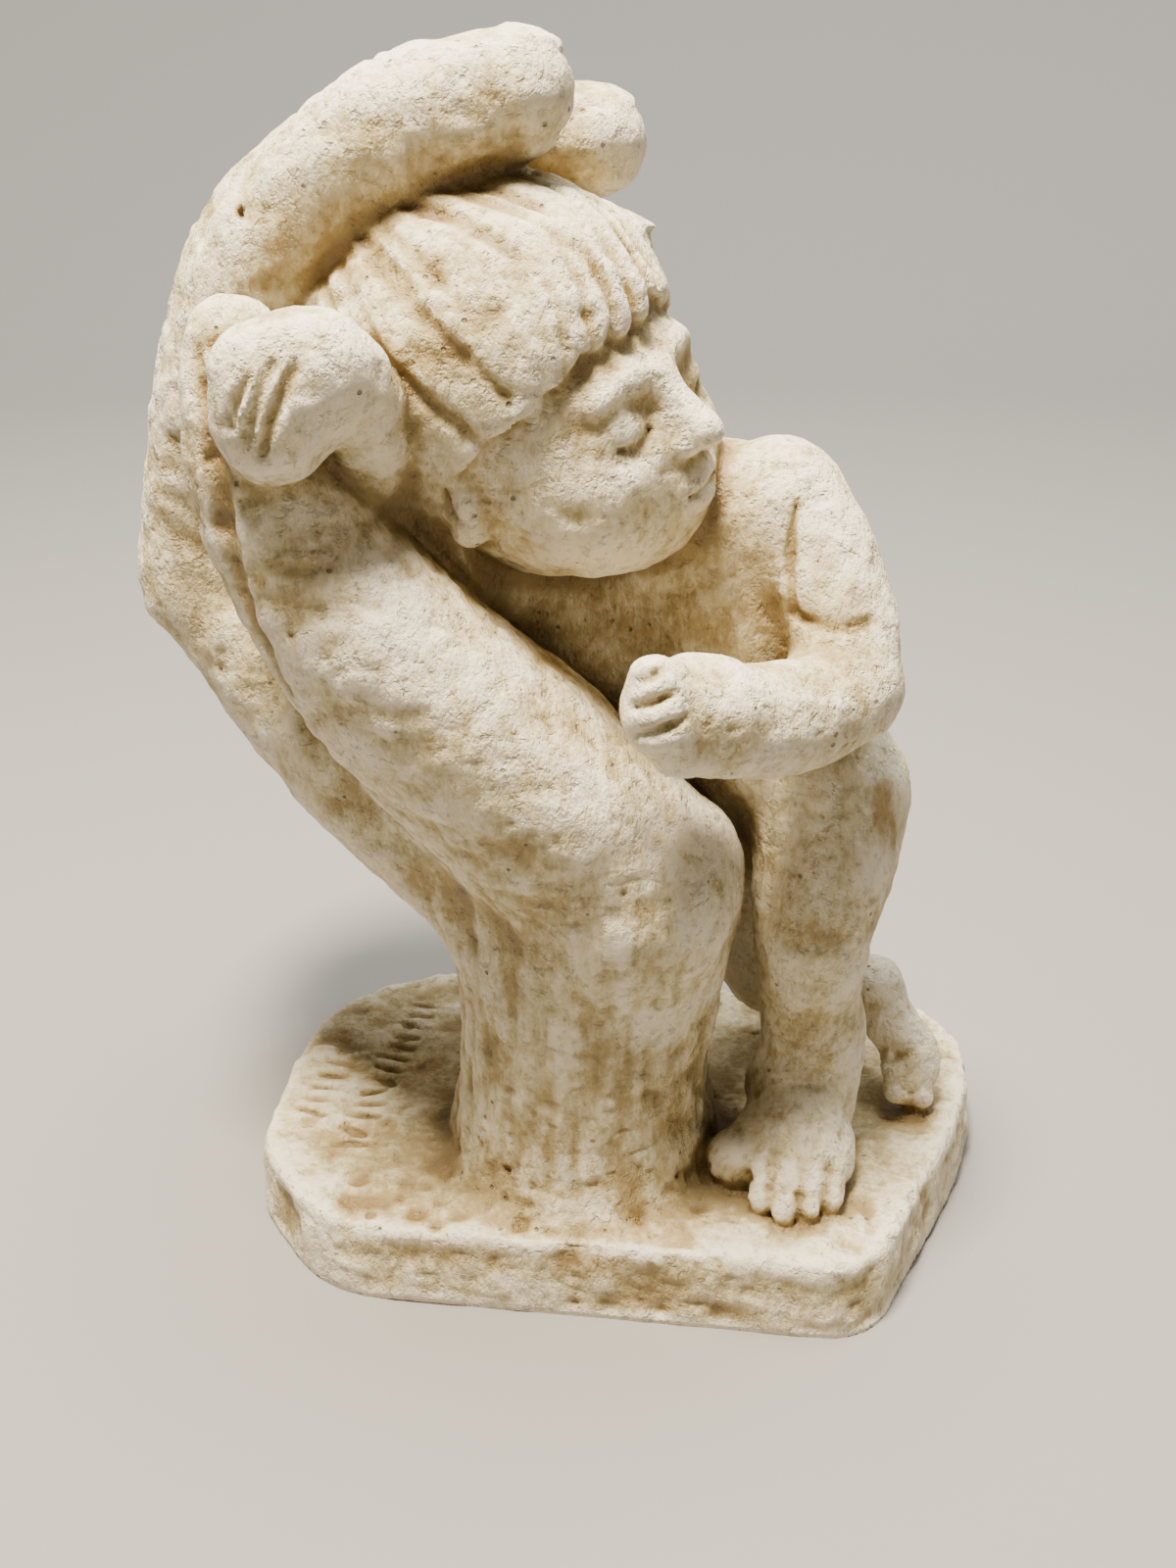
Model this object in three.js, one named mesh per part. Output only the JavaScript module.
// A small child asleep in a great open hand, cast in plaster in one piece with its low plinth.
// Millimetres, +Z up. The origin is the centre of the flat underside, X runs along the plinth
// and the thumb side of the hand faces -Y. The forms are blended like clay in a grid of
// distances, skinned, and the skin is thinned to a few thousand facets.
import * as THREE from "three";
import { triTable } from "three/addons/objects/MarchingCubes.js";

// Driving sizes
const PLINTH_LENGTH = 164;
const PLINTH_DEPTH = 101;
const PLINTH_HEIGHT = 18;
const PLINTH_EDGE_ROUND = 2;
const PLINTH_CORNER_ROUND = 10;
const PLINTH_FLARE = 1.6; // how far each side spreads between the top and the underside
const FIGURE_HEIGHT = 222; // from the plinth's top to the highest fingertip
const WRIST_GIRTH = 1; // a share that thickens or thins the wrist
const FINGER_GIRTH = 1; // the same for the five fingers
const HEAD_SIZE = 72; // from the chin to the crown
const HAIR_THICKNESS = 3;

// How finely the clay is sampled, and how many facets stay
const CELL = 1.8;
const FACETS = 9800;
const CURVE_STEPS = 4;

// Limits of the thinning
const PASSES = 12;
const PASS_SHARE = 0.55; // a pass ends when this share of its faces is left
const LENGTH_COST = 1e-4; // keeps flat stretches evenly divided
const THINNEST = 0.12; // a face's height over its length
const TURN_LIMIT = 0.5; // cosine of how far a face may turn
const SLIVER_TURN_LIMIT = 0.1;
const NEAR_MIDDLE = 0.4; // how far from its middle an edge's vertex may settle, squared

// The figure is written for this height and this head, and grows with its driving sizes
const WRITTEN_HEIGHT = 222;
const WRITTEN_HEAD = 72;
const FIGURE_SCALE = FIGURE_HEIGHT / WRITTEN_HEIGHT;
const HEAD_SCALE = HEAD_SIZE / WRITTEN_HEAD;

// Corner cuts of the plinth: which corner, and how far each cut runs along the length and depth
const PLINTH_CORNERS = [
  { side: -1, face: -1, along: 23, across: 25 },
  { side: 1, face: -1, along: 28, across: 66 },
  { side: 1, face: 1, along: 12, across: 16 },
  { side: -1, face: 1, along: 24, across: 22 },
];

// How far the figure reaches to each side in its written units, and the air left round the whole
const FIGURE_REACH = { low: [-116, -70], high: [82, 70] };
const GRID_MARGIN = 8;
const FAR = 1000;

function softMin(a, b, blend) {
  if (blend <= 0) {
    return Math.min(a, b);
  }
  const share = THREE.MathUtils.clamp(0.5 + (0.5 * (b - a)) / blend, 0, 1);
  return b + (a - b) * share - blend * share * (1 - share);
}

// Distances to a skin, negative inside, sampled on a grid of cubes
class Clay {
  constructor(low, high) {
    this.low = low;
    this.high = high;
    this.count = [0, 1, 2].map((axis) => Math.ceil((high[axis] - low[axis]) / CELL) + 1);
    this.field = new Float32Array(this.count[0] * this.count[1] * this.count[2]).fill(FAR);
  }

  // Samples from first to last on each axis that lie in a box
  span(low, high) {
    return [0, 1, 2].map((axis) => {
      const first = Math.floor((low[axis] - this.low[axis]) / CELL);
      const last = Math.ceil((high[axis] - this.low[axis]) / CELL);
      return [Math.max(first, 0), Math.min(last, this.count[axis] - 1)];
    });
  }

  visit(low, high, action) {
    const [spanX, spanY, spanZ] = this.span(low, high);
    for (let i = spanX[0]; i <= spanX[1]; i += 1) {
      const x = this.low[0] + i * CELL;
      for (let j = spanY[0]; j <= spanY[1]; j += 1) {
        const y = this.low[1] + j * CELL;
        const row = (i * this.count[1] + j) * this.count[2];
        for (let k = spanZ[0]; k <= spanZ[1]; k += 1) {
          action(row + k, x, y, this.low[2] + k * CELL);
        }
      }
    }
  }

  add(distance, low, high, blend = 0) {
    const room = blend + 2 * CELL;
    this.visit(low.map((v) => v - room), high.map((v) => v + room), (at, x, y, z) => {
      this.field[at] = softMin(this.field[at], distance(x, y, z), blend);
    });
  }

  carve(distance, low, high, blend = 0) {
    const room = blend + 2 * CELL;
    this.visit(low.map((v) => v - room), high.map((v) => v + room), (at, x, y, z) => {
      this.field[at] = -softMin(-this.field[at], distance(x, y, z), blend);
    });
  }

  // A round form through joints, with a radius at each of them
  tube(joints, radii, blend, carved) {
    const { points, sizes } = smoothRun(joints, radii);
    const widest = Math.max(...sizes);
    const low = [0, 1, 2].map((axis) => Math.min(...points.map((p) => p[axis])) - widest);
    const high = [0, 1, 2].map((axis) => Math.max(...points.map((p) => p[axis])) + widest);
    const room = blend + 2 * CELL;
    const spans = this.span(low.map((v) => v - room), high.map((v) => v + room));
    const [sizeX, sizeY, sizeZ] = spans.map(([first, last]) => last - first + 1);
    const own = new Float32Array(sizeX * sizeY * sizeZ).fill(FAR);
    for (let n = 0; n + 1 < points.length; n += 1) {
      const a = points[n];
      const b = points[n + 1];
      const reach = Math.max(sizes[n], sizes[n + 1]) + room;
      const boxLow = a.map((v, axis) => Math.min(v, b[axis]) - reach);
      const boxHigh = a.map((v, axis) => Math.max(v, b[axis]) + reach);
      const [sx, sy, sz] = this.span(boxLow, boxHigh);
      const bx = b[0] - a[0];
      const by = b[1] - a[1];
      const bz = b[2] - a[2];
      const length = Math.max(bx * bx + by * by + bz * bz, 1e-9);
      const grow = sizes[n + 1] - sizes[n];
      for (let i = Math.max(sx[0], spans[0][0]); i <= Math.min(sx[1], spans[0][1]); i += 1) {
        const x = this.low[0] + i * CELL - a[0];
        for (let j = Math.max(sy[0], spans[1][0]); j <= Math.min(sy[1], spans[1][1]); j += 1) {
          const y = this.low[1] + j * CELL - a[1];
          const row = ((i - spans[0][0]) * sizeY + (j - spans[1][0])) * sizeZ - spans[2][0];
          for (let k = Math.max(sz[0], spans[2][0]); k <= Math.min(sz[1], spans[2][1]); k += 1) {
            const z = this.low[2] + k * CELL - a[2];
            const t = Math.min(Math.max((x * bx + y * by + z * bz) / length, 0), 1);
            const away = Math.hypot(x - t * bx, y - t * by, z - t * bz) - sizes[n] - t * grow;
            if (away < own[row + k]) {
              own[row + k] = away;
            }
          }
        }
      }
    }
    for (let i = spans[0][0]; i <= spans[0][1]; i += 1) {
      for (let j = spans[1][0]; j <= spans[1][1]; j += 1) {
        const row = ((i - spans[0][0]) * sizeY + (j - spans[1][0])) * sizeZ - spans[2][0];
        const home = (i * this.count[1] + j) * this.count[2];
        for (let k = spans[2][0]; k <= spans[2][1]; k += 1) {
          const old = this.field[home + k];
          const form = own[row + k];
          this.field[home + k] = carved ? -softMin(-old, form, blend) : softMin(old, form, blend);
        }
      }
    }
  }

  // Joins a limb written in the figure's own units
  limb(joints, radii, blend = 0) {
    this.tube(joints.map(onPlinth), radii.map((r) => r * FIGURE_SCALE), blend * FIGURE_SCALE, false);
  }

  groove(joints, width, blend = 1.2) {
    const radii = joints.map(() => (width / 2) * FIGURE_SCALE);
    this.tube(joints.map(onPlinth), radii, blend * FIGURE_SCALE, true);
  }

  // Joins or carves an ellipsoid whose own axes are the three given directions
  lump(centre, radii, blend = 0, axes = UPRIGHT, carved = false) {
    const [cx, cy, cz] = onPlinth(centre);
    const sizes = radii.map((r) => r * FIGURE_SCALE);
    const distance = (x, y, z) => {
      let near = 0;
      let slope = 0;
      for (let n = 0; n < 3; n += 1) {
        const axis = axes[n];
        const along = ((x - cx) * axis.x + (y - cy) * axis.y + (z - cz) * axis.z) / sizes[n];
        near += along * along;
        slope += (along / sizes[n]) ** 2;
      }
      near = Math.sqrt(near);
      return (near * (near - 1)) / Math.max(Math.sqrt(slope), 1e-6);
    };
    const reach = Math.max(...sizes);
    const low = [cx - reach, cy - reach, cz - reach];
    const high = [cx + reach, cy + reach, cz + reach];
    if (carved) {
      this.carve(distance, low, high, blend * FIGURE_SCALE);
    } else {
      this.add(distance, low, high, blend * FIGURE_SCALE);
    }
  }

  join(other, blend) {
    for (let at = 0; at < this.field.length; at += 1) {
      this.field[at] = softMin(this.field[at], other.field[at], blend);
    }
  }

  // Fills every hollow that can't be reached from outside
  fillHollows() {
    const [, countY, countZ] = this.count;
    const steps = [1, -1, countZ, -countZ, countY * countZ, -countY * countZ];
    const open = new Uint8Array(this.field.length);
    const waiting = [this.field.length - 1];
    open[waiting[0]] = 1;
    while (waiting.length > 0) {
      const at = waiting.pop();
      for (const step of steps) {
        const next = at + step;
        if (next >= 0 && next < open.length && open[next] === 0 && this.field[next] >= 0) {
          open[next] = 1;
          waiting.push(next);
        }
      }
    }
    for (let at = 0; at < open.length; at += 1) {
      if (open[at] === 0) {
        this.field[at] = Math.min(this.field[at], -CELL / 2);
      }
    }
  }
}

function directions(...rows) {
  return rows.map((row) => new THREE.Vector3(...row));
}

const UPRIGHT = directions([1, 0, 0], [0, 1, 0], [0, 0, 1]);

// From the figure's own units, measured from the plinth's top, to the part's millimetres
function onPlinth([x, y, z]) {
  return [x * FIGURE_SCALE, y * FIGURE_SCALE, z * FIGURE_SCALE + PLINTH_HEIGHT];
}

// A smooth curve through the joints, with radii that change as smoothly
function smoothRun(joints, radii) {
  if (joints.length < 3) {
    return { points: joints, sizes: radii };
  }
  const curveThrough = (places) => new THREE.CatmullRomCurve3(places, false, "catmullrom");
  const path = curveThrough(joints.map((joint) => new THREE.Vector3(...joint)));
  const girth = curveThrough(radii.map((radius) => new THREE.Vector3(radius, 0, 0)));
  const steps = (joints.length - 1) * CURVE_STEPS;
  return {
    points: path.getPoints(steps).map((p) => p.toArray()),
    sizes: girth.getPoints(steps).map((p) => p.x),
  };
}

// An empty grid with room for the plinth and for the figure
function newClay() {
  const halfLength = PLINTH_LENGTH / 2 + GRID_MARGIN;
  const halfDepth = PLINTH_DEPTH / 2 + GRID_MARGIN;
  const [back, near] = FIGURE_REACH.low.map((v) => v * FIGURE_SCALE);
  const [front, away] = FIGURE_REACH.high.map((v) => v * FIGURE_SCALE);
  const top = PLINTH_HEIGHT + FIGURE_HEIGHT + GRID_MARGIN;
  return new Clay(
    [Math.min(-halfLength, back), Math.min(-halfDepth, near), -GRID_MARGIN / 4],
    [Math.max(halfLength, front), Math.max(halfDepth, away), top],
  );
}

// The great hand: a left hand, its palm facing +X and its fingers closing over the child's head
const FINGERS = [
  {
    joints: [
      [-86, -6, 124.5], [-79.5, -9, 157], [-67.5, -12, 182.5],
      [-53, -13, 198.5], [-37.5, -13, 208], [-21, -12, 213],
    ],
    radii: [13.2, 12.3, 12.2, 12.2, 12.2, 10.4],
    root: { joints: [[-19.5, -12, 61.5], [-53, -9, 92], [-86, -6, 124.5]], radii: [20, 19.8, 13.2] },
    nail: { centre: [-14.7, -12, 220.3], size: 5.6 },
  },
  {
    joints: [
      [-94.5, 14, 123.5], [-88.5, 12, 154.5], [-78.5, 13, 184],
      [-59.5, 14, 200.5], [-35.5, 15, 207], [-10.5, 16, 205.5],
    ],
    radii: [13, 12, 12, 11.6, 11.2, 10],
    root: { joints: [[-22, -4, 59], [-58.5, 5, 90.5], [-94.5, 14, 123.5]], radii: [18, 18.4, 13.2] },
    nail: { centre: [-5.4, 16, 214], size: 5.2 },
  },
  {
    joints: [
      [-99, 33, 118], [-94, 34, 148], [-83.5, 35, 175],
      [-63, 36, 190.5], [-36.5, 37, 191], [-9.5, 37, 184],
    ],
    radii: [12.5, 11.6, 11.4, 11, 10.6, 9.2],
    root: { joints: [[-22.5, 6, 55], [-61, 19.5, 85.5], [-99, 33, 118]], radii: [18, 18, 12.8] },
    nail: { centre: [-4.5, 37, 190], size: 5 },
  },
  {
    joints: [
      [-96, 49, 108], [-91.5, 51, 133.5], [-80.5, 53, 158],
      [-62.5, 54, 172], [-44.5, 53, 173], [-24.5, 50, 165],
    ],
    radii: [11, 10, 9.8, 9.2, 8.8, 8.2],
    root: { joints: [[-16.5, 12, 52], [-56.5, 30.5, 79], [-96, 49, 108]], radii: [18, 17.6, 12] },
    nail: { centre: [-20, 50, 171], size: 4.4 },
  },
];
const NAIL_AXES = directions([0.97, 0, -0.24], [0, 1, 0], [0.24, 0, 0.97]);

// How far the webs between the fingers lie inside them
const WEB_SHIFT = new THREE.Vector3(3, 0, -2);

function greatHand() {
  const hand = newClay();
  const thick = (radii) => radii.map((r) => r * WRIST_GIRTH);
  const full = (radii) => radii.map((r) => r * FINGER_GIRTH);
  hand.limb([[-9, -14, -10], [-9, -14, 12], [-8.5, -14, 34], [-9, -14, 54]], thick([30, 27.6, 27, 27.5]));
  hand.limb([[-9, -2, -10], [-9, -1, 22], [-12, 0, 52]], thick([26, 24.5, 25]), 6);
  hand.limb([[-9, -14, -8], [-9, -12, -1]], thick([33, 29]), 5);
  // the heel of the palm, where the child stands against it
  hand.limb([[6, -16, 40], [8, -18, 59.5], [8, -20, 68.5]], thick([13, 14, 13.6]), 7);
  hand.limb([[10.5, -22, 73], [13, -18, 75]], thick([10.5, 8.6]), 5);
  for (const finger of FINGERS) {
    hand.limb(finger.root.joints, finger.root.radii, 7);
  }
  hand.limb([[-81, -6, 127.5], [-89.5, 14, 126.5], [-94, 33, 121], [-92, 49, 110]], [11, 11, 11, 10], 6);
  hand.limb([[-80, -4, 146.5], [-87.5, 14, 147.5], [-91, 33, 142], [-88, 47, 128]], [8, 8, 8, 7], 6);
  hand.limb([[-8, -2, 66], [-36, 4, 90], [-62, 10, 116]], [22, 22, 19], 8);
  hand.limb([[-4, 12, 48], [-24, 26, 70], [-50, 40, 94]], [19, 17, 14], 8);
  // the ball of the thumb and the thumb, laid along the palm's near edge
  const thumbBall = [
    [-0.5, -22, 68], [-20, -26, 93.5], [-38, -31, 113],
    [-50.5, -35, 130.5], [-59, -38, 146.5], [-62, -39, 155.5],
  ];
  hand.limb(thumbBall, [24, 22.5, 20.2, 17.2, 13.8, 11.6], 7);
  hand.limb([[-12.5, -36, 90.5], [-28, -40, 109.5], [-41, -42, 124.5]], [14, 13, 11], 9);
  hand.limb([[-62, -39, 155.5], [-64.5, -39, 166], [-65, -37, 175]], full([11.6, 9.6, 8.4]), 3);
  for (const finger of FINGERS) {
    hand.limb(finger.joints, full(finger.radii), 2.5);
    const { centre, size } = finger.nail;
    hand.lump(centre, [size, size * 0.82, 1.5], 0.8, NAIL_AXES);
  }
  // webs between the fingers, and the plaster that backs the child's head
  for (let gap = 0; gap < 3; gap += 1) {
    const web = [9, 8.5, 8, 7.5, 6.5].map((radius, n) => {
      const middle = new THREE.Vector3(...FINGERS[gap].joints[n]);
      middle.lerp(new THREE.Vector3(...FINGERS[gap + 1].joints[n]), 0.5).add(WEB_SHIFT);
      return { radius, joint: middle.toArray() };
    });
    hand.limb(web.map(({ joint }) => joint), web.map(({ radius }) => radius), 3);
  }
  hand.limb([[-68, 8, 118], [-66, 14, 150], [-60, 14, 178], [-46, 12, 192]], [20, 19, 15, 9], 6);
  return hand;
}

// The child: standing, turned to the viewer, leaning back so that its head lies in the palm
const FOOT_TOES = [
  { root: [34.5, -28, 7], tip: [32, -35.5, 3.5] },
  { root: [37, -27.5, 7], tip: [36, -39.5, 3.5] },
  { root: [39.5, -27.5, 7], tip: [40.5, -37.5, 3.5] },
  { root: [42, -27, 7], tip: [45, -33.5, 3.5] },
];
const FIST_AXES = directions([0.94, 0, -0.35], [-0.03, 1, -0.1], [0.35, 0.1, 0.93]);

function childBody() {
  const child = newClay();
  child.limb([[39, 4, 82], [27, 5, 102], [17, 6, 124.5], [10, 6, 137.5]], [17, 18.5, 20, 15]);
  child.lump([44.5, 8, 77], [11.6, 12.6, 13], 6);
  child.limb([[-13, 4, 112], [0, 8, 109], [15.5, 10, 91], [25.5, 14, 76]], [12, 15, 16, 13], 7);
  child.limb([[7, 8, 133], [26, 0, 141.5]], [15, 12.5], 7);
  child.limb([[7, 8, 133], [-10, 4, 122]], [15, 12], 7);
  // left arm, laid across the body, with its hand on the palm's edge
  const upperArm = [[28, -1, 141.5], [35.5, -6, 132], [40.5, -12, 120.5], [41.5, -17, 111]];
  const forearm = [[42, -17, 110.5], [32.5, -28, 109], [22.5, -36, 111], [15.5, -41, 113.5]];
  child.limb(upperArm, [12.4, 11.4, 10.6, 10.2], 3.5);
  child.limb(forearm, [10.2, 10.6, 10.4, 9.6], 3);
  child.limb([[16.5, -41, 114], [10, -46, 117]], [10, 8.4], 4);
  child.limb([[8, -50, 123.5], [9, -51, 117.5], [12, -49, 110]], [4.6, 5.2, 4.6], 3);
  // left leg, which the child stands on
  const leftLeg = [
    [41, 0, 79], [40.5, -6, 65.5], [39, -10, 54.5],
    [39.5, -8, 40], [41, -6, 25], [39.5, -8, 11.5],
  ];
  child.limb(leftLeg, [16.2, 14.8, 12.6, 11, 11.6, 11], 5);
  child.limb([[38, -9, 12.5], [38.5, -22, 7]], [11.5, 10], 4);
  child.lump([38.5, -22, 6], [12.5, 14, 8.5], 3);
  child.limb([[35.5, -18.5, 9], [26, -25.5, 6]], [8, 5.8], 3);
  child.lump([25.2, -25.5, 5.5], [5.9, 5.9, 5.6], 1.5);
  for (const toe of FOOT_TOES) {
    child.limb([toe.root, toe.tip], [4.9, 3.8], 0.8);
  }
  // right leg, crossed behind, with its toes on the plinth
  child.limb([[29, 18, 70.5], [26.5, 25, 44], [31.5, 28, 21], [50, 20, 22]], [15, 13, 11, 7.5], 5);
  child.limb([[56, 16, 25.5], [59, 13, 18.5], [65, 9, 11.5], [65.5, 6, 5.5]], [6.6, 6.2, 6.4, 4.6], 3);
  for (let toe = 0; toe < 3; toe += 1) {
    child.limb([[65 - 2 * toe, 7, 10.2 + toe], [67 - 2.7 * toe, 3, 4.2 + 0.5 * toe]], [3.6, 3.2], 1);
  }
  // right arm, bent up behind the cheek, with its fist round the great thumb
  const rightArm = [
    [-10, 4, 123.5], [-25, -4, 126], [-38, -14, 137.5],
    [-44, -26, 150.5], [-43, -36, 161.5], [-45, -43, 169.5],
  ];
  child.limb(rightArm, [11, 10, 9, 8, 7.8, 8.6], 4);
  child.lump([-54, -49, 168], [10.8, 10, 13.6], 3, FIST_AXES);
  child.limb([[-55.5, -49, 172.5], [-48, -47, 173.5]], [8.4, 9.2], 4);
  return child;
}

// The head: laid back, turned along +X and a little to the viewer
const HEAD_CENTRE = [-24.5, -6, 163];
const FORWARD = new THREE.Vector3(0.86, -0.44, 0.26).normalize();
const CROWN = new THREE.Vector3(-0.34, -0.1, 0.93).projectOnPlane(FORWARD).normalize();
const SIDE = new THREE.Vector3().crossVectors(FORWARD, CROWN);
const HEAD_AXES = [FORWARD, SIDE, CROWN];

// A place on the head, told by how far it is forward, to the child's right, and up
function onHead(forward, side, up) {
  const place = new THREE.Vector3(...HEAD_CENTRE);
  place.addScaledVector(FORWARD, forward * HEAD_SCALE);
  place.addScaledVector(SIDE, side * HEAD_SCALE);
  place.addScaledVector(CROWN, up * HEAD_SCALE);
  return place.toArray();
}

// The hair's lower edge: a fringe that drops to the temples, then runs behind the ears
function hairline(forward, side) {
  const fringe = 9.5 - 0.0155 * side * side;
  const temple = Math.max(16 - forward, 0) * 0.45;
  const nape = Math.max(3 - forward, 0) * 2.6;
  const jag = 1.3 * Math.sin(side * 0.62) * THREE.MathUtils.smoothstep(forward, 10, 20);
  return fringe - temple - nape + jag;
}

function childHead() {
  const head = newClay();
  const lump = (place, radii, blend, carved = false) => {
    head.lump(onHead(...place), radii.map((r) => r * HEAD_SCALE), blend, HEAD_AXES, carved);
  };
  lump([-2, 0, 5], [35, 30, 31], 0);
  lump([10, 0, -13], [26, 26, 23], 8);
  lump([22, 0, -27], [10, 12, 8.5], 8);
  for (const side of [-1, 1]) {
    lump([18, 14 * side, -19], [13, 10.5, 12], 6);
    lump([30, 9 * side, -2], [5, 8, 4.2], 4);
    lump([33.5, 11 * side, -8], [6, 6.5, 3.6], 2.5, true);
    lump([27.5, 10.5 * side, -7.5], [5.2, 6.2, 4.6], 1.2);
    lump([36.2, 3.2 * side, -15.2], [2.6, 2.3, 2], 1.5);
    lump([4, 27 * side, -14], [5, 4, 9], 2);
  }
  head.limb([onHead(33, 0, -3), onHead(37, 0, -13)], [2.6 * HEAD_SCALE, 3.6 * HEAD_SCALE], 3);
  lump([38.6, 0, -14.2], [3.6, 3.6, 3.2], 2);
  lump([33.5, 0, -22], [4.4, 7, 2.4], 2);
  lump([32.8, 0, -25.6], [4.2, 5.6, 2.4], 1.5);
  head.join(childHair(), 0.6);
  return head;
}

function childHair() {
  const hair = newClay();
  const shell = HAIR_THICKNESS / HEAD_SCALE;
  const cap = [34.6, 29.8, 30.8].map((radius) => (radius + shell) * HEAD_SCALE);
  hair.lump(onHead(-2, 0, 6), cap, 0, HEAD_AXES);
  hair.lump(onHead(-14, 0, -12), [27, 29, 26].map((r) => r * HEAD_SCALE), 8, HEAD_AXES);
  const [cx, cy, cz] = onPlinth(HEAD_CENTRE);
  const grow = FIGURE_SCALE * HEAD_SCALE;
  for (let lock = 0; lock < HAIR_LOCKS; lock += 1) {
    hair.groove(lockGroove(lock), 3.6, 1.2);
  }
  const belowHairline = (x, y, z) => {
    const along = (axis) => ((x - cx) * axis.x + (y - cy) * axis.y + (z - cz) * axis.z) / grow;
    const [forward, side, up] = HEAD_AXES.map(along);
    return (up - hairline(forward, side)) * 0.75 * grow;
  };
  const reach = HAIR_REACH * grow;
  const low = [cx - reach, cy - reach, cz - reach];
  hair.carve(belowHairline, low, low.map((v) => v + 2 * reach), 1.2);
  return hair;
}

// Grooves between the locks: they fan out from the whorl at the back of the crown to the fringe
const HAIR_REACH = 50;
const HAIR_LOCKS = 13;
const WHORL = new THREE.Vector3(-0.45, 0.1, 0.88).normalize();

function lockGroove(lock) {
  const turn = THREE.MathUtils.lerp(-2.3, 2.3, lock / (HAIR_LOCKS - 1));
  const fall = new THREE.Vector3(Math.cos(turn), Math.sin(turn), 0).projectOnPlane(WHORL).normalize();
  const joints = [];
  for (const drop of [0.55, 0.95, 1.35, 1.75]) {
    const ray = WHORL.clone().multiplyScalar(Math.cos(drop)).addScaledVector(fall, Math.sin(drop));
    const reach = 1 / Math.hypot(ray.x / 37.4, ray.y / 32.6, ray.z / 33.6);
    joints.push(onHead(ray.x * reach - 2, ray.y * reach, ray.z * reach + 6));
  }
  return joints;
}

// Creases and grooves cut once all the forms are joined
const GROOVES = [
  { joints: [[-48, -57.2, 173.5], [-51, -58, 167.5], [-55, -55.8, 159.5]], width: 3.4 },
  { joints: [[-51.5, -58, 175.5], [-54, -59.2, 170], [-57.5, -57, 161.5]], width: 3 },
  { joints: [[-56, -58, 175.5], [-58, -59, 171], [-60.5, -57, 165]], width: 3 },
  { joints: [[5.5, -53.3, 124], [8.5, -53.3, 125], [11, -51.8, 124.5]], width: 3 },
  { joints: [[6, -54.6, 120], [9.5, -54.5, 121.5], [12, -53.2, 121.5]], width: 3 },
  { joints: [[6.5, -54.6, 116], [10, -55.2, 117.5], [13, -53.7, 118]], width: 2.8 },
  { joints: [[8.5, -54, 111.5], [11, -54.4, 112], [13, -53.9, 113]], width: 3 },
  { joints: [[30.5, -13.5, 143.5], [30, -15.4, 135.5], [31, -17, 125]], width: 3 },
  { joints: [[30.5, -15.7, 124.5], [38, -22, 124.5], [46.5, -20, 124.5]], width: 3 },
  {
    joints: [[-69, -45.3, 175], [-66, -50.8, 158.5], [-64.5, -49.4, 136.5], [-58.5, -46.2, 117.5]],
    width: 5,
  },
];

// The plinth: an eight-sided slab with rounded corners that spreads a little towards its underside
function plinthSlab() {
  const plinth = newClay();
  const halfLength = PLINTH_LENGTH / 2;
  const halfDepth = PLINTH_DEPTH / 2;
  const slab = (x, y, z) => {
    const spread = (PLINTH_FLARE * (PLINTH_HEIGHT - z)) / PLINTH_HEIGHT;
    const fromEnd = halfLength + spread - Math.abs(x);
    const fromSide = halfDepth + spread - Math.abs(y);
    let inside = softMin(fromEnd, fromSide, PLINTH_CORNER_ROUND);
    for (const { side, face, along, across } of PLINTH_CORNERS) {
      const reach = Math.hypot(along, across);
      const past = (side * x - halfLength) * across + (face * y - halfDepth) * along + along * across;
      inside = softMin(inside, spread - past / reach, PLINTH_CORNER_ROUND);
    }
    return -softMin(inside, PLINTH_HEIGHT - z, PLINTH_EDGE_ROUND);
  };
  const low = [-halfLength - PLINTH_FLARE, -halfDepth - PLINTH_FLARE, -2];
  plinth.add(slab, low, [-low[0], -low[1], PLINTH_HEIGHT]);
  return plinth;
}

// The corners of a cube of samples and its edges, in the order that the table of triangles counts them
const RING = [[0, 0], [1, 0], [1, 1], [0, 1]];
const CORNERS = [0, 1].flatMap((level) => RING.map(([i, j]) => [i, j, level]));
const LEVEL_EDGES = [[0, 1], [1, 2], [3, 2], [0, 3]];
const EDGES = [
  ...LEVEL_EDGES,
  ...LEVEL_EDGES.map(([from, to]) => [from + 4, to + 4]),
  ...RING.map((_, corner) => [corner, corner + 4]),
];
const EDGE_AXIS = [0, 1, 0, 1, 0, 1, 0, 1, 2, 2, 2, 2];

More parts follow.
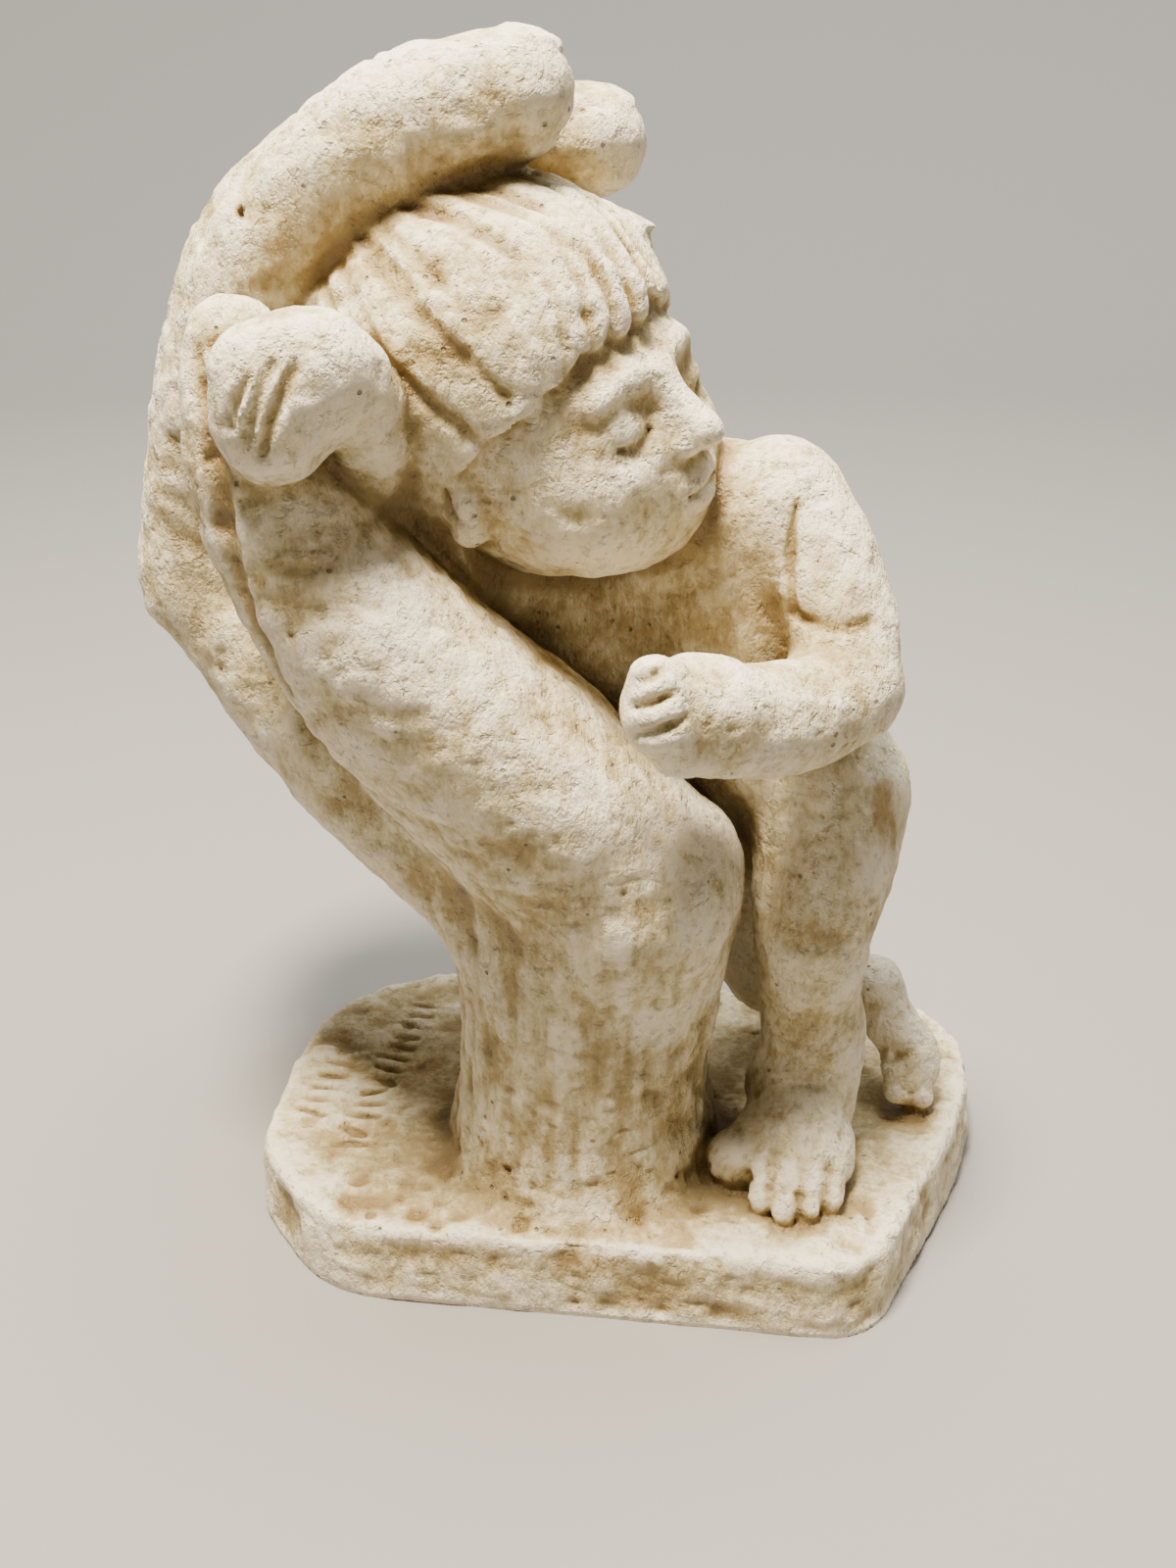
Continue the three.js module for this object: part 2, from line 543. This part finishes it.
// Skins the clay with marching cubes
function skin(clay) {
  const [countX, countY, countZ] = clay.count;
  const field = clay.field;
  const steps = CORNERS.map(([i, j, k]) => (i * countY + j) * countZ + k);
  const axisSteps = [countY * countZ, countZ, 1];
  const known = new Int32Array(field.length * 3).fill(-1);
  const positions = [];
  const triangles = [];
  const vertexOn = (base, edge) => {
    const axis = EDGE_AXIS[edge];
    const from = base + steps[EDGES[edge][0]];
    if (known[from * 3 + axis] < 0) {
      const first = field[from];
      const share = THREE.MathUtils.clamp(first / (first - field[from + axisSteps[axis]]), 0.05, 0.95);
      const place = [Math.floor(from / axisSteps[0]), Math.floor(from / countZ) % countY, from % countZ];
      place[axis] += share;
      known[from * 3 + axis] = positions.length / 3;
      positions.push(...place.map((steps, n) => clay.low[n] + steps * CELL));
    }
    return known[from * 3 + axis];
  };
  for (let i = 0; i + 1 < countX; i += 1) {
    for (let j = 0; j + 1 < countY; j += 1) {
      for (let k = 0; k + 1 < countZ; k += 1) {
        const base = (i * countY + j) * countZ + k;
        let pattern = 0;
        for (let corner = 0; corner < 8; corner += 1) {
          if (field[base + steps[corner]] < 0) {
            pattern |= 1 << corner;
          }
        }
        if (pattern === 0 || pattern === 255) {
          continue;
        }
        for (let n = pattern * 16; triTable[n] >= 0; n += 3) {
          for (const turn of [0, 2, 1]) {
            triangles.push(vertexOn(base, triTable[n + turn]));
          }
        }
      }
    }
  }
  return { positions, triangles };
}

// The waiting edges of a thinned skin, cheapest first
class EdgeHeap {
  constructor() {
    this.cost = [];
    this.edge = [];
  }

  get size() {
    return this.cost.length;
  }

  swap(a, b) {
    [this.cost[a], this.cost[b]] = [this.cost[b], this.cost[a]];
    [this.edge[a], this.edge[b]] = [this.edge[b], this.edge[a]];
  }

  push(cost, edge) {
    let at = this.cost.length;
    this.cost.push(cost);
    this.edge.push(edge);
    while (at > 0 && this.cost[(at - 1) >> 1] > this.cost[at]) {
      this.swap(at, (at - 1) >> 1);
      at = (at - 1) >> 1;
    }
  }

  pop() {
    const top = this.edge[0];
    this.swap(0, this.cost.length - 1);
    this.cost.pop();
    this.edge.pop();
    let at = 0;
    for (;;) {
      let least = at;
      const left = 2 * at + 1;
      if (left < this.cost.length && this.cost[left] < this.cost[least]) {
        least = left;
      }
      if (left + 1 < this.cost.length && this.cost[left + 1] < this.cost[least]) {
        least = left + 1;
      }
      if (least === at) {
        return top;
      }
      this.swap(at, least);
      at = least;
    }
  }
}

// Places whose small forms are kept: how far each reaches, and how much more its surface counts
const CARE = [
  { centre: [-14, -10, 158], reach: 34, weight: 14 },
  { centre: [-30, -6, 166], reach: 46, weight: 8 },
  { centre: [-54, -49, 168], reach: 17, weight: 12 },
  { centre: [10, -50, 117], reach: 13, weight: 12 },
  { centre: [34, -30, 5], reach: 16, weight: 10 },
  { centre: [64, 6, 9], reach: 12, weight: 8 },
];

const PLINTH_CARE = 3;

function careAt(x, y, z) {
  let care = z < PLINTH_HEIGHT + 1 ? PLINTH_CARE : 1;
  for (const { centre, reach, weight } of CARE) {
    const [cx, cy, cz] = onPlinth(centre);
    const near = Math.hypot(x - cx, y - cy, z - cz) / (reach * FIGURE_SCALE);
    care = Math.max(care, weight * (1 - THREE.MathUtils.smoothstep(near, 0.8, 1.2)));
  }
  return care;
}

// Thins a closed skin: the edge whose loss moves the surface least goes first
class Thinner {
  constructor({ positions, triangles }) {
    const vertices = positions.length / 3;
    this.positions = Float64Array.from(positions);
    this.triangles = Int32Array.from(triangles);
    this.facesOf = Array.from({ length: vertices }, () => []);
    this.quadrics = new Float64Array(vertices * 10);
    this.age = new Int32Array(vertices);
    this.mark = new Int32Array(vertices);
    this.round = 0;
    this.faces = triangles.length / 3;
    this.live = this.faces;
    this.sum = new Float64Array(10);
    this.place = new Float64Array(3);
    for (let face = 0; face < this.faces; face += 1) {
      this.measureFace(face);
    }
  }

  // A face's normal, as long as twice its area, with one vertex moved if that is asked for
  normal(face, moved = -1, place = null) {
    const p = [];
    for (let n = 0; n < 3; n += 1) {
      const vertex = this.triangles[face * 3 + n];
      for (let axis = 0; axis < 3; axis += 1) {
        p.push(vertex === moved ? place[axis] : this.positions[vertex * 3 + axis]);
      }
    }
    const [ax, ay, az] = [p[3] - p[0], p[4] - p[1], p[5] - p[2]];
    const [bx, by, bz] = [p[6] - p[0], p[7] - p[1], p[8] - p[2]];
    const longest = Math.max(ax * ax + ay * ay + az * az, bx * bx + by * by + bz * bz);
    return [ay * bz - az * by, az * bx - ax * bz, ax * by - ay * bx, longest];
  }

  measureFace(face) {
    const [nx, ny, nz] = this.normal(face);
    const area = Math.hypot(nx, ny, nz) || 1e-12;
    const plane = [nx / area, ny / area, nz / area, 0];
    const first = this.triangles[face * 3] * 3;
    const [x, y, z] = this.positions.subarray(first, first + 3);
    plane[3] = -(plane[0] * x + plane[1] * y + plane[2] * z);
    const weight = area * careAt(x, y, z);
    for (let n = 0; n < 3; n += 1) {
      const vertex = this.triangles[face * 3 + n];
      this.facesOf[vertex].push(face);
      let part = vertex * 10;
      for (let row = 0; row < 4; row += 1) {
        for (let column = row; column < 4; column += 1) {
          this.quadrics[part] += plane[row] * plane[column] * weight;
          part += 1;
        }
      }
    }
  }

  errorAt(x, y, z) {
    const [aa, ab, ac, ad, bb, bc, bd, cc, cd, dd] = this.sum;
    const byX = x * (aa * x + 2 * (ab * y + ac * z + ad));
    const byY = y * (bb * y + 2 * (bc * z + bd));
    return byX + byY + z * (cc * z + 2 * cd) + dd;
  }

  // Finds the least harmful place for an edge's one remaining vertex, and what it costs
  settle(a, b) {
    for (let n = 0; n < 10; n += 1) {
      this.sum[n] = this.quadrics[a * 10 + n] + this.quadrics[b * 10 + n];
    }
    const [aa, ab, ac, ad, bb, bc, bd, cc, cd] = this.sum;
    const { positions, place } = this;
    const middle = [0, 1, 2].map((axis) => (positions[a * 3 + axis] + positions[b * 3 + axis]) / 2);
    let length = 0;
    for (let axis = 0; axis < 3; axis += 1) {
      length += (positions[a * 3 + axis] - positions[b * 3 + axis]) ** 2;
    }
    const minorA = bb * cc - bc * bc;
    const minorB = ab * cc - bc * ac;
    const minorC = ab * bc - bb * ac;
    const det = aa * minorA - ab * minorB + ac * minorC;
    let least = Infinity;
    const consider = (x, y, z) => {
      const cost = this.errorAt(x, y, z);
      if (cost < least - 1e-9) {
        least = cost;
        place.set([x, y, z]);
      }
    };
    if (Math.abs(det) > 1e-4 * (aa + bb + cc) ** 3) {
      const x = -(ad * minorA - ab * (bd * cc - bc * cd) + ac * (bd * bc - bb * cd)) / det;
      const y = -(aa * (bd * cc - bc * cd) - ad * minorB + ac * (ab * cd - bd * ac)) / det;
      const z = -(aa * (bb * cd - bd * bc) - ab * (ab * cd - bd * ac) + ad * minorC) / det;
      if ((x - middle[0]) ** 2 + (y - middle[1]) ** 2 + (z - middle[2]) ** 2 < NEAR_MIDDLE * length) {
        consider(x, y, z);
      }
    }
    consider(...middle);
    consider(...positions.subarray(a * 3, a * 3 + 3));
    consider(...positions.subarray(b * 3, b * 3 + 3));
    return Math.max(least, 0) + LENGTH_COST * length;
  }

  offer(a, b) {
    this.heap.push(this.settle(a, b), [a, b, this.age[a], this.age[b]]);
  }

  neighbours(vertex) {
    this.round += 1;
    this.mark[vertex] = this.round;
    const found = [];
    for (const face of this.facesOf[vertex]) {
      for (let n = 0; n < 3; n += 1) {
        const other = this.triangles[face * 3 + n];
        if (this.mark[other] !== this.round) {
          this.mark[other] = this.round;
          found.push(other);
        }
      }
    }
    return found;
  }

  holds(face, vertex) {
    const [a, b, c] = this.triangles.subarray(face * 3, face * 3 + 3);
    return a === vertex || b === vertex || c === vertex;
  }

  // The way out of the surface near an edge
  wayOut(a, b) {
    const sum = [0, 0, 0];
    for (const vertex of [a, b]) {
      for (const face of this.facesOf[vertex]) {
        const normal = this.normal(face);
        for (let axis = 0; axis < 3; axis += 1) {
          sum[axis] += normal[axis];
        }
      }
    }
    const length = Math.hypot(...sum) || 1;
    return sum.map((v) => v / length);
  }

  // Whether a face that stays would turn over or grow too thin. A sliver has no sure way to face,
  // so it is held to the way out of the surface round it.
  spoils(vertex, other, place, out) {
    for (const face of this.facesOf[vertex]) {
      if (this.holds(face, other)) {
        continue;
      }
      const was = this.normal(face);
      const now = this.normal(face, vertex, place);
      const before = Math.hypot(was[0], was[1], was[2]);
      const after = Math.hypot(now[0], now[1], now[2]);
      const sliver = before < THINNEST * was[3];
      const held = sliver ? out : [was[0] / before, was[1] / before, was[2] / before];
      const turn = (held[0] * now[0] + held[1] * now[1] + held[2] * now[2]) / after;
      const thin = after < THINNEST * now[3] && after / now[3] < before / was[3];
      if (thin || after < 1e-6 || turn < (sliver ? SLIVER_TURN_LIMIT : TURN_LIMIT)) {
        return true;
      }
    }
    return false;
  }

  collapse(a, b) {
    const around = this.neighbours(b);
    const ring = new Set(this.neighbours(a));
    const shared = around.filter((vertex) => ring.has(vertex));
    if (!ring.has(b) || shared.length !== 2) {
      return;
    }
    this.settle(a, b);
    const place = Array.from(this.place);
    const out = this.wayOut(a, b);
    if (this.spoils(a, b, place, out) || this.spoils(b, a, place, out)) {
      return;
    }
    this.positions.set(place, a * 3);
    for (let n = 0; n < 10; n += 1) {
      this.quadrics[a * 10 + n] += this.quadrics[b * 10 + n];
    }
    for (const face of this.facesOf[b]) {
      if (this.holds(face, a)) {
        for (const vertex of [a, ...shared]) {
          if (this.holds(face, vertex)) {
            this.facesOf[vertex] = this.facesOf[vertex].filter((one) => one !== face);
          }
        }
        this.triangles[face * 3] = -1;
        this.live -= 1;
      } else {
        const n = [0, 1, 2].find((corner) => this.triangles[face * 3 + corner] === b);
        this.triangles[face * 3 + n] = a;
        this.facesOf[a].push(face);
      }
    }
    this.facesOf[b] = [];
    this.age[a] += 1;
    this.age[b] = -1;
    for (const other of this.neighbours(a)) {
      this.offer(a, other);
    }
  }

  // An edge that was turned down is offered again in the next pass, when its surroundings have changed
  thinTo(target) {
    for (let pass = 0; pass < PASSES && this.live > target; pass += 1) {
      this.heap = new EdgeHeap();
      for (let face = 0; face < this.faces; face += 1) {
        for (let n = 0; n < 3 && this.triangles[face * 3] >= 0; n += 1) {
          const a = this.triangles[face * 3 + n];
          const b = this.triangles[face * 3 + ((n + 1) % 3)];
          if (a < b) {
            this.offer(a, b);
          }
        }
      }
      const goal = Math.max(target, Math.round(this.live * PASS_SHARE));
      while (this.live > goal && this.heap.size > 0) {
        const [a, b, ageA, ageB] = this.heap.pop();
        if (ageA === this.age[a] && ageB === this.age[b]) {
          this.collapse(a, b);
        }
      }
    }
    return this.geometry();
  }

  geometry() {
    const number = new Map();
    const positions = [];
    const index = [];
    for (let at = 0; at < this.triangles.length; at += 1) {
      if (this.triangles[at - (at % 3)] < 0) {
        continue;
      }
      const vertex = this.triangles[at];
      if (!number.has(vertex)) {
        number.set(vertex, positions.length / 3);
        const [x, y, z] = this.positions.subarray(vertex * 3, vertex * 3 + 3);
        positions.push(x, y, z < FLAT_WITHIN ? 0 : z);
      }
      index.push(number.get(vertex));
    }
    const geometry = new THREE.BufferGeometry();
    geometry.setAttribute("position", new THREE.Float32BufferAttribute(positions, 3));
    geometry.setIndex(index);
    geometry.computeVertexNormals();
    return geometry;
  }
}

// Vertices this near to the underside lie on it
const FLAT_WITHIN = 0.05;

function figurine() {
  const body = greatHand();
  const child = childBody();
  child.join(childHead(), 2 * FIGURE_SCALE);
  body.join(child, 2.5 * FIGURE_SCALE);
  body.join(plinthSlab(), 2.5);
  for (const { joints, width } of GROOVES) {
    body.groove(joints, width);
  }
  body.visit(body.low, body.high, (at, x, y, z) => {
    body.field[at] = Math.max(body.field[at], -z);
  });
  body.fillHollows();
  return new Thinner(skin(body)).thinTo(FACETS);
}

const plaster = new THREE.MeshStandardMaterial({ color: "#cfc4ab", roughness: 0.7, metalness: 0 });
const mesh = new THREE.Mesh(figurine(), plaster);
mesh.name = "figurine";

const group = new THREE.Group();
group.add(mesh);

export default group;
